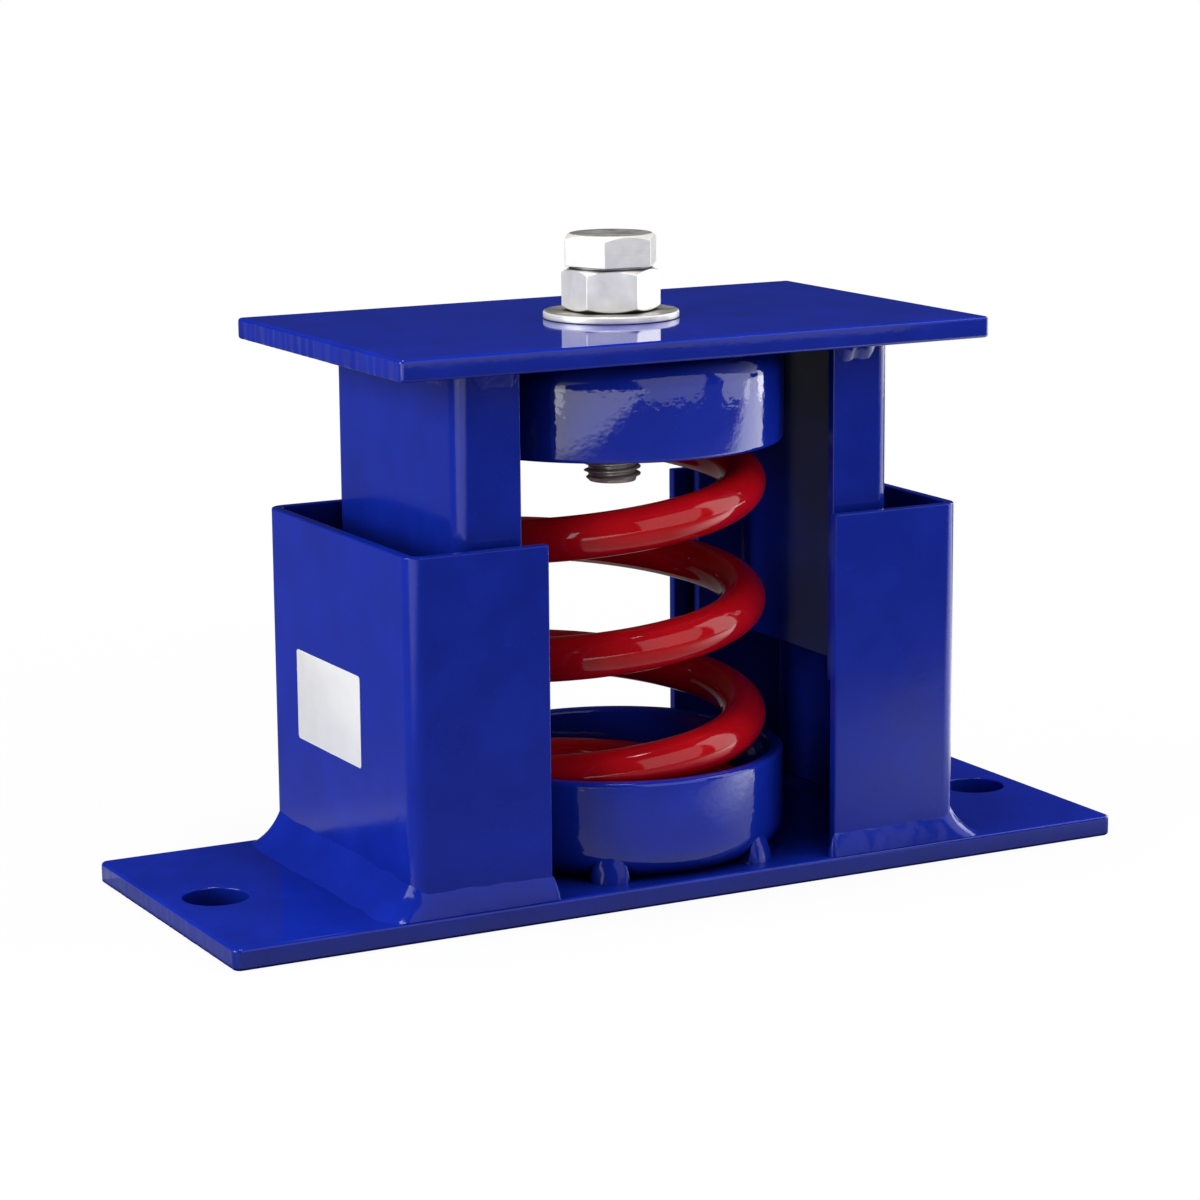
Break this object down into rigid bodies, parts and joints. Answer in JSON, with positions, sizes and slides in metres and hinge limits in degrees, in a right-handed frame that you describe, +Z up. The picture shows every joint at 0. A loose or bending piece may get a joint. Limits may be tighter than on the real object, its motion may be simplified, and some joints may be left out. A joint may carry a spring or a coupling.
{
  "type": "spring vibration isolator",
  "caption": "Housed spring mount: a top plate on a coil spring, guided by nested folded channels on a base plate with bolt-down feet and a levelling bolt.",
  "frame": {"origin": "middle of the base plate's underside", "axes": "+X along the base plate's feet, +Y across it, +Z up along the spring and the bolt"},
  "size_m": [0.276, 0.109, 0.1795],
  "materials": {
    "blue_paint": "gloss sprayed enamel on steel",
    "red_paint": "gloss dipped enamel on spring steel",
    "zinc_plate": "bright zinc plating"
  },
  "bodies": {
    "base": {"base_plate": "blue_paint", "left_lower_channel": "blue_paint", "right_lower_channel": "blue_paint", "lower_spring_cup": "blue_paint", "left_foot_weld": "blue_paint", "right_foot_weld": "blue_paint", "lower_cup_tacks": "blue_paint", "coil_spring": "red_paint"},
    "top": {"top_plate": "blue_paint", "left_upper_channel": "blue_paint", "right_upper_channel": "blue_paint", "upper_spring_cup": "blue_paint", "left_web_bead": "blue_paint", "right_web_bead": "blue_paint", "left_flange_beads": "blue_paint", "right_flange_beads": "blue_paint", "flat_washer": "zinc_plate"},
    "levelling_bolt": {"hex_bolt": "zinc_plate", "lock_nut": "zinc_plate"}
  },
  "joints": [
    {"name": "spring_travel", "type": "slide", "parent": "base", "child": "top", "axis": [0, 0, 1], "range_m": [-0.0465, 0], "stiffness_N_per_m": 146000, "deforming": ["coil_spring"]},
    {"name": "bolt_turn", "type": "hinge", "parent": "top", "child": "levelling_bolt", "pos_m": [0, 0, 0.156], "axis": [0, 0, 1], "continuous": true}
  ]
}
